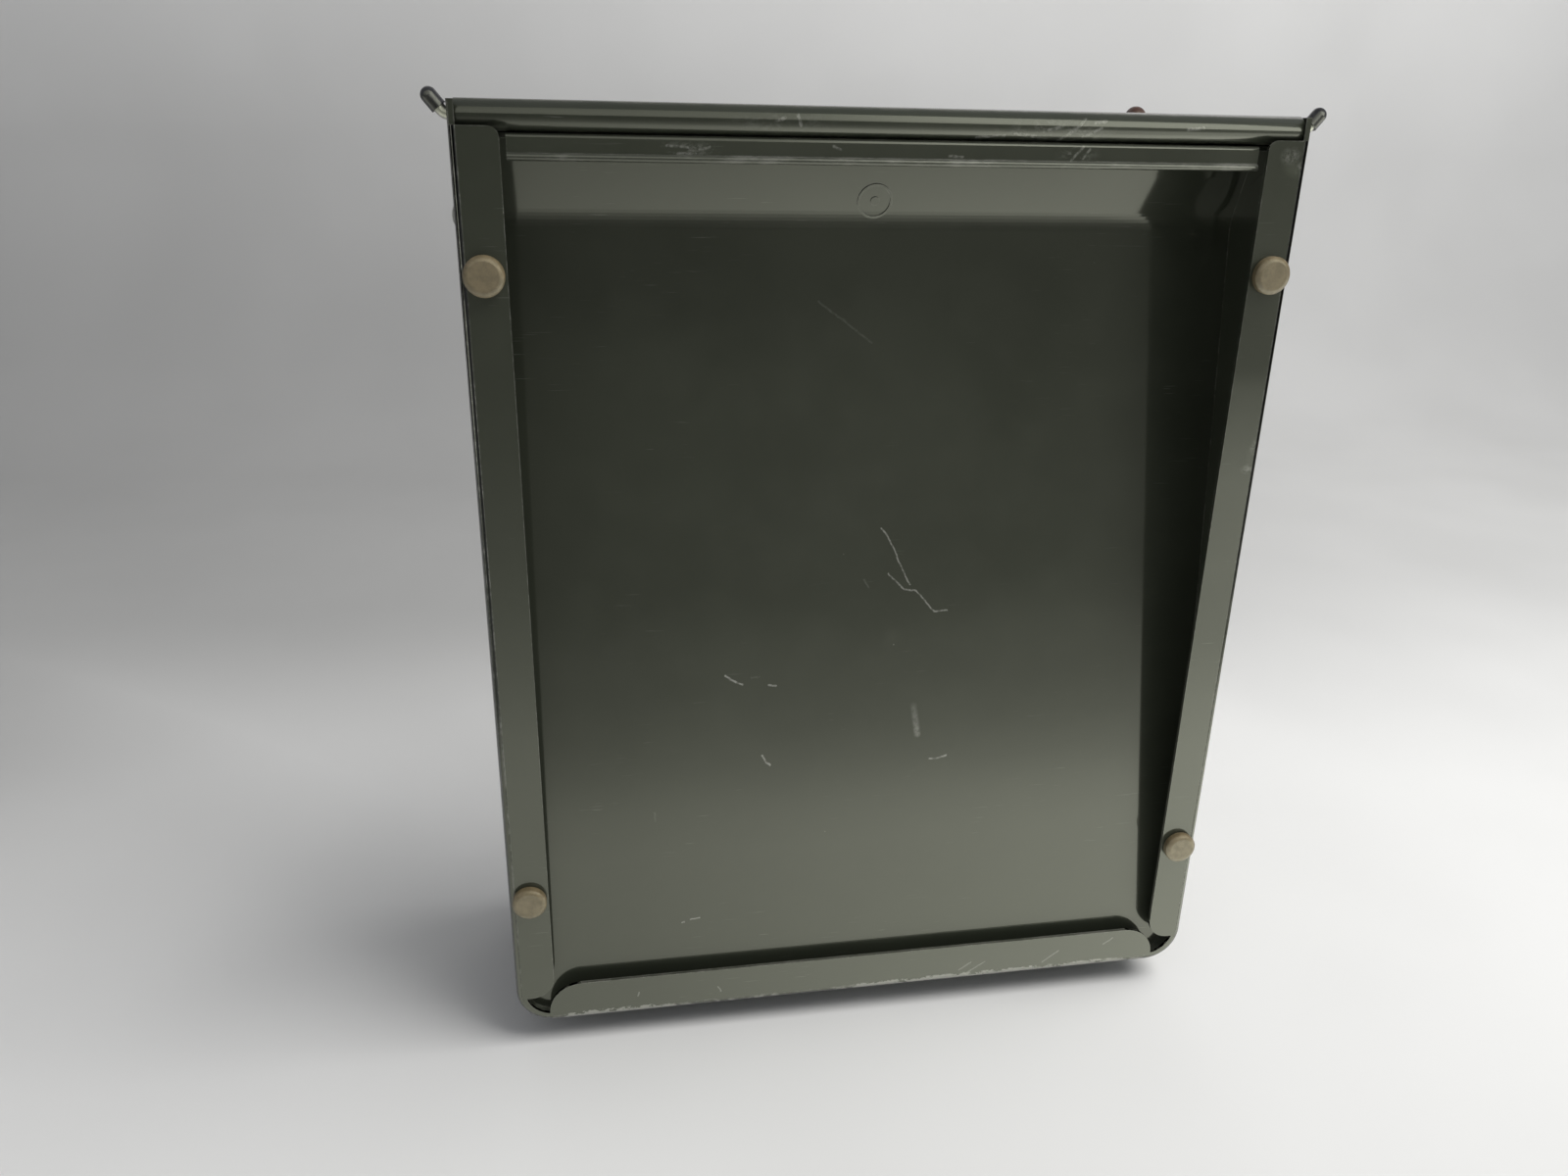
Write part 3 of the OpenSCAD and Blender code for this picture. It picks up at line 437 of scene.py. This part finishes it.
def nylon(name):
    g = Tree(name)
    mott = g.noise(3, 4, 0.6)
    dirt = g.ramp(g.noise(1.2, 4, 0.7), 0.55, 0.72)
    col = g.mix(g.ramp(mott, 0.3, 0.7), (0.72, 0.69, 0.60), (0.60, 0.56, 0.46))
    col = g.mix(g.mul(dirt, 0.5), col, (0.16, 0.14, 0.11))
    return g.bsdf({"Base Color": col, "Roughness": g.ramp(mott, 0.3, 0.7, 0.38, 0.5), "Subsurface Weight": 0.08, "Subsurface Scale": 0.001}, (g.noise(0.4, 3, 0.6), 0.02, 0.3))


def card(name):
    """Blank label card: paper fibres, slight yellowing towards the rim and foxing."""
    g = Tree(name)
    fib = g.noise(0.22, 3, 0.7, stretch=(6, 1, 1), turn=(0, 0.4, 0))
    fib2 = g.noise(0.22, 3, 0.7, stretch=(6, 1, 1), turn=(0, -0.9, 0), shift=(4, 4, 4))
    age = g.noise(12, 3, 0.6)
    x, z = g.xyz[0], g.xyz[2]
    rim = g.mx(g.ramp(g.m("ABSOLUTE", x), 20, 30), g.ramp(z, 279.5, 276), g.ramp(z, 286.5, 290.5))
    col = g.mix(g.add(g.mul(rim, 0.55), g.ramp(age, 0.35, 0.7, 0, 0.4)), (0.76, 0.72, 0.61), (0.56, 0.47, 0.33))
    fox = g.mul(g.ramp(g.noise(0.9, 3, 0.7, shift=(1, 2, 3)), 0.68, 0.74), g.ramp(g.noise(7, 1, 0.5), 0.45, 0.6))
    col = g.mix(g.mul(fox, 0.5), col, (0.32, 0.19, 0.09))
    col = g.mix(g.ramp(g.add(fib, fib2), 0.9, 1.25, 0, 0.2), col, (0.45, 0.40, 0.31))
    return g.bsdf({"Base Color": col, "Roughness": g.ramp(fib, 0.3, 0.7, 0.75, 0.88), "Specular IOR Level": 0.3}, [(fib, 0.012, 0.5), (fib2, 0.012, 0.5)])


def mat_rubber(name):
    """Ribbed rubber mat with scuffs and lint."""
    g = Tree(name)
    grain = g.noise(0.5, 3, 0.6)
    wear = g.ramp(g.noise(11, 4, 0.7), 0.48, 0.7)
    col = g.mix(g.ramp(grain, 0.3, 0.7), (0.018, 0.018, 0.019), (0.035, 0.035, 0.034))
    col = g.mix(g.mul(wear, 0.35), col, (0.10, 0.095, 0.085))
    lint = g.mul(g.ramp(g.noise(0.3, 2, 0.6, stretch=(9, 1, 1), turn=(0.4, 0.2, 1.0)), 0.72, 0.78), g.ramp(g.noise(9, 1, 0.5, shift=(2, 6, 1)), 0.5, 0.62))
    col = g.mix(g.mul(lint, 0.5), col, (0.4, 0.39, 0.36))
    return g.bsdf({"Base Color": col, "Roughness": g.ramp(wear, 0, 1, 0.62, 0.8)}, [(grain, 0.05, 0.5), (wear, 0.05, 0.2)])


M = {
    "panel": paint("paint_panel", panel_marks),
    "wrap": paint("paint_case", wrap_marks, wear=1.15),
    "lid": paint("paint_lid", barrel_marks),
    "rail": paint("paint_rail", rail_marks),
    "front": paint("paint_front", front_marks),
    "plain": paint("paint_plain"),
    "zinc": zinc("zinc"),
    "chrome": plated("lock_chrome", (0.60, 0.60, 0.585), (-76, 150), 0.18),
    "brass": plated("lock_brass", (0.55, 0.45, 0.25), (-76, 150), 0.24),
    "aged_brass": plated("aged_brass", (0.30, 0.245, 0.145), None, 0.34),
    "vinyl": rubber("black_vinyl", (0.012, 0.012, 0.015), (0.020, 0.020, 0.024), 0.26, (0.09, 0.085, 0.08), 0.5),
    "tan": rubber("tan_rubber", (0.175, 0.135, 0.075), (0.115, 0.088, 0.045), 0.40, (0.10, 0.075, 0.045), 0.25),
    "brown": rubber("brown_rubber", (0.075, 0.034, 0.024), (0.045, 0.022, 0.018), 0.34, (0.12, 0.10, 0.09), 0.3),
    "black": rubber("black_rubber", (0.020, 0.020, 0.020), (0.036, 0.035, 0.033), 0.58, (0.12, 0.11, 0.10)),
    "mat": mat_rubber("mat_rubber"),
    "nylon": nylon("nylon"),
    "card": card("card"),
}
FINISH = {
    "case_wrap": "wrap", "back_pan": "panel", "top_rail": "rail", "front_panel": "front", "doubler_discs": "plain",
    "lid_panel": "lid", "lid_stiffener": "plain", "lid_pull": "plain", "door_panel": "front", "door_stiffener": "plain",
    "hinge_rod": "zinc", "disc_rivets": "zinc", "rail_rivets": "plain", "side_rivets": "zinc", "foot_screws": "zinc",
    "hinge_case_leaf": "zinc", "hinge_door_leaf": "zinc", "hinge_pin": "zinc", "case_leaf_rivets": "zinc",
    "door_leaf_rivets": "zinc", "pull_rivets": "zinc", "lock_nut": "zinc", "lock_cam": "zinc", "cam_screw": "zinc",
    "lock_housing": "chrome", "lock_plug": "brass", "rod_caps": "vinyl", "wall_bumpers": "tan", "lid_bumper": "brown",
    "base_feet": "black", "lid_buffers": "black", "floor_mat": "mat", "rod_bushes": "nylon", "label_frame": "aged_brass",
    "label_card": "card", "label_rivets": "aged_brass",
}
for name, o in NODES.items():
    mat = M[FINISH[name]].mat if isinstance(M[FINISH[name]], Tree) else M[FINISH[name]]
    if not o.material_slots:
        o.data.materials.append(mat)
    for s in o.material_slots:
        s.material = mat


# ---------------------------------------------------------------- edges of the pressed sheet
BEVEL = {
    "case_wrap": 0.28, "top_rail": 0.22, "lid_panel": 0.25, "lid_pull": 0.25,
    "door_panel": 0.2, "hinge_case_leaf": 0.12, "hinge_door_leaf": 0.12, "label_frame": 0.12, "lock_housing": 0.1,
    "lock_plug": 0.1, "lock_nut": 0.2, "lock_cam": 0.15, "doubler_discs": 0.12, "wall_bumpers": 0.12, "base_feet": 0.2,
    "floor_mat": 0.25, "lid_stiffener": 0.2, "door_stiffener": 0.2, "rod_bushes": 0.1,
}
for name, w in BEVEL.items():
    o = NODES[name]
    weld = o.modifiers.new("weld", "WELD")
    weld.merge_threshold = 2e-6
    b = o.modifiers.new("bevel", "BEVEL")
    b.width = w * MM
    b.segments = 2
    b.limit_method = "ANGLE"
    b.angle_limit = math.radians(32)
    b.harden_normals = True
    b.use_clamp_overlap = True
    b.miter_outer = "MITER_ARC"


# ---------------------------------------------------------------- floor, backdrop and lights
def stage_mat(name, rgb, amount=0.03):
    g = Tree(name)
    n = g.noise(220, 2, 0.5)
    n2 = g.noise(3, 3, 0.6)
    a = tuple(c * (1 - amount) for c in rgb)
    b = tuple(min(1, c * (1 + amount)) for c in rgb)
    col = g.mix(g.ramp(n, 0.3, 0.7), a, b)
    # painted shade: the sheet is darkened towards the back, a little less so higher up, and more on the left, away from
    # the light; the next line adds painted shade on the low floor and backdrop left of the object, its shadow side
    far = g.mul(g.ramp(g.xyz[1], 60, 400, 0.0, 0.46), g.ramp(g.xyz[2], 60, 520, 1.0, 0.20), g.ramp(g.xyz[0], -300, 700, 1.25, 0.64))
    far = g.mx(far, g.mul(g.ramp(g.xyz[0], -80, -520), g.ramp(g.xyz[1], -60, 220), g.ramp(g.xyz[2], 60, 420, 0.56, 0.10)))
    col = g.mix(far, col, tuple(c * 0.18 for c in rgb))
    return g.bsdf({"Base Color": col, "Roughness": 0.8, "Specular IOR Level": 0.0}, (n2, 0.02, 0.3))


def sweep_floor():
    """One seamless sheet: flat floor that curves up into a wall behind the object."""
    prof = [(-6.0, 0.0), (0.72, 0.0)]
    r, cy, cz = 0.30, 0.72, 0.30
    for k in range(1, 25):
        a = math.radians(90 * k / 24)
        prof.append((cy + r * math.sin(a), cz - r * math.cos(a)))
    prof.append((cy + r, 3.2))
    verts, faces = [], []
    for y, z in prof:
        verts += [(-6.0, y, z), (6.0, y, z)]
    for k in range(len(prof) - 1):
        faces.append((2 * k, 2 * k + 1, 2 * k + 3, 2 * k + 2))
    me = bpy.data.meshes.new("floor")
    me.from_pydata(verts, [], faces)
    for poly in me.polygons:
        poly.use_smooth = True
    o = bpy.data.objects.new("floor", me)
    bpy.context.scene.collection.objects.link(o)
    me.materials.append(stage_mat("floor_paper", (0.80, 0.80, 0.795)))
    return o


sweep_floor()


def area(name, at, to, size, power, color=(1, 1, 1), spread=180.0, glossy=True):
    d = bpy.data.lights.new(name, "AREA")
    d.shape = "RECTANGLE"
    d.size, d.size_y = size
    d.energy = power
    d.color = color
    d.spread = math.radians(spread)
    o = bpy.data.objects.new(name, d)
    o.location = at
    o.rotation_mode = "QUATERNION"
    o.rotation_quaternion = (Vector(to) - Vector(at)).to_track_quat("-Z", "Y")
    o.visible_camera = False
    o.visible_glossy = glossy
    bpy.context.scene.collection.objects.link(o)
    return o


# softbox above, right of the object and a little in front: the shadow falls to the left
area("overhead", (0.82, -0.36, 1.62), (0.05, -0.05, 0.0), (1.3, 1.1), 30.0, (1.0, 0.99, 0.965), glossy=False)

world = bpy.data.worlds.new("world")
world.use_nodes = True
bg = world.node_tree.nodes["Background"]
bg.inputs[0].default_value = (0.93, 0.95, 1.0, 1.0)
bg.inputs[1].default_value = 0.29
bpy.context.scene.world = world


def glow_card(name, corners, shade):
    """An emitting card that is only seen in reflections. shade(g) gives its strength."""
    me = bpy.data.meshes.new(name)
    me.from_pydata(corners, [], [(0, 1, 2, 3)])
    o = bpy.data.objects.new(name, me)
    bpy.context.scene.collection.objects.link(o)
    g = Tree(name)
    e = g.n("ShaderNodeEmission", {0: (1.0, 1.02, 0.84, 1.0), 1: shade(g)})
    g.t.links.new(e.outputs[0], g.out.inputs[0])
    me.materials.append(g.mat)
    o.visible_camera = False
    o.visible_shadow = False
    o.visible_diffuse = False
    return o


def room_shade(g):
    """The room in front of the box: dark up to a window sill, bright above, brighter to the right."""
    x, z = g.xyz[0], g.xyz[2]
    dim = g.curve(z, [(0, 0.36), (80, 0.36), (285, 0.26), (440, 0.10), (486, 0.10)])
    lit = g.curve(z, [(505, 0.0), (560, 2.6), (1050, 2.6), (1200, 2.4), (2200, 2.1)])
    dim = g.mul(dim, g.curve(x, [(-1500, 0.35), (-30, 0.60), (255, 1.0), (555, 0.75), (820, 1.3), (1500, 1.4)]))
    return g.add(dim, g.mul(lit, g.curve(x, [(-1500, 0.35), (-30, 0.58), (255, 1.03), (555, 1.45), (1500, 1.5)])))


def table_shade(g):
    """The bright table top in front of the box, darker towards its far edge."""
    x, y = g.xyz[0], g.xyz[1]
    near = g.curve(y, [(-2000, 0.34), (-1000, 0.36), (-700, 0.66), (-574, 0.74), (-450, 1.0), (-354, 1.5), (-277, 2.15), (-215, 2.4), (-60, 2.2)])
    u = g.m("DIVIDE", g.m("ADD", x, 100.0), g.m("ADD", g.mul(g.m("ADD", y, 48.0), -0.6), 190.0))
    side = g.mul(g.ramp(u, 0.90, 1.04), g.curve(y, [(-1700, 0.2), (-1100, 0.5), (-700, 1.0), (-480, 0.8), (-380, 0.3), (-300, 0.0)]))
    return g.mul(g.add(near, side), g.curve(u, [(-0.6, 0.5), (0.07, 0.74), (0.45, 1.0), (1.12, 1.3)]))


glow_card("room_glow", [(-2.5, -1.2, 0.0), (2.5, -1.2, 0.0), (2.5, -1.2, 2.2), (-2.5, -1.2, 2.2)], room_shade)
glow_card("table_glow", [(-2.5, -1.2, 0.001), (2.5, -1.2, 0.001), (2.5, -0.053, 0.001), (-2.5, -0.053, 0.001)], table_shade)
